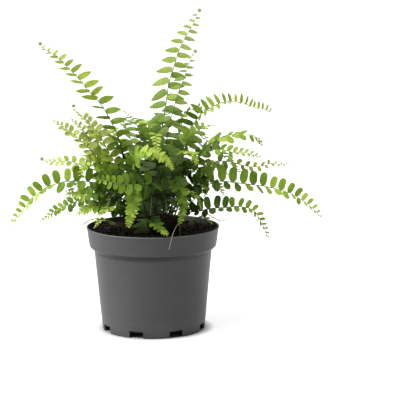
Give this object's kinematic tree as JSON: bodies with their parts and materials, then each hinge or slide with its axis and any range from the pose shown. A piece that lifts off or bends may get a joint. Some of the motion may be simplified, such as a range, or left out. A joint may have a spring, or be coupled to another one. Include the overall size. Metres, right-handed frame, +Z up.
{
  "type": "potted boston fern",
  "caption": "Young Boston fern in a round plastic nursery pot: arching fronds with two rows of small leaflets rise from a scaly crown in dark potting soil.",
  "frame": {"origin": "centre of the pot's underside, where it rests", "axes": "+Z up; the picture's view looks along +Y; +X to the right in it"},
  "size_m": [0.2776, 0.1688, 0.2872],
  "materials": {
    "pot": "satin, dark grey, lightly scuffed",
    "soil": "crumbly peat and bark, almost black",
    "crown": "brown papery scales and old stalk bases",
    "runner": "thin fuzzy thread, pale brown-green",
    "leaf_light": "young lime-green leaf, satin",
    "leaf_mid": "fresh green leaf, satin",
    "leaf_dark": "dark green leaf, satin",
    "leaf_dry": "dry, curled brown frond"
  },
  "bodies": {
    "root": {"pot": "pot", "soil": "soil", "crown": "crown", "runner": "runner", "frond_01": "leaf_light", "frond_02": "leaf_light", "frond_03": "leaf_mid", "frond_04": "leaf_mid", "frond_05": "leaf_light", "frond_06": "leaf_mid", "frond_07": "leaf_mid", "frond_08": "leaf_mid", "frond_09": "leaf_dark", "frond_10": "leaf_light", "frond_11": "leaf_light", "frond_12": "leaf_dark", "frond_13": "leaf_light", "frond_14": "leaf_light", "frond_15": "leaf_light", "frond_16": "leaf_light", "frond_17": "leaf_mid", "frond_18": "leaf_mid", "frond_19": "leaf_mid", "frond_20": "leaf_light", "frond_21": "leaf_mid", "frond_22": "leaf_mid", "frond_23": "leaf_light", "frond_24": "leaf_light", "frond_25": "leaf_light", "frond_26": "leaf_mid", "frond_27": "leaf_light", "frond_28": "leaf_mid", "frond_29": "leaf_dark", "frond_30": "leaf_mid", "frond_31": "leaf_dark", "frond_32": "leaf_dry", "frond_33": "leaf_dark", "frond_34": "leaf_mid", "frond_35": "leaf_dark", "frond_36": "leaf_dark", "frond_37": "leaf_dark", "frond_38": "leaf_dark", "frond_39": "leaf_mid", "frond_40": "leaf_mid", "frond_41": "leaf_mid", "frond_42": "leaf_mid", "frond_43": "leaf_mid", "frond_44": "leaf_mid", "frond_45": "leaf_mid", "frond_46": "leaf_mid", "frond_47": "leaf_mid", "frond_48": "leaf_mid", "frond_49": "leaf_mid", "frond_50": "leaf_mid"}
  },
  "joints": []
}
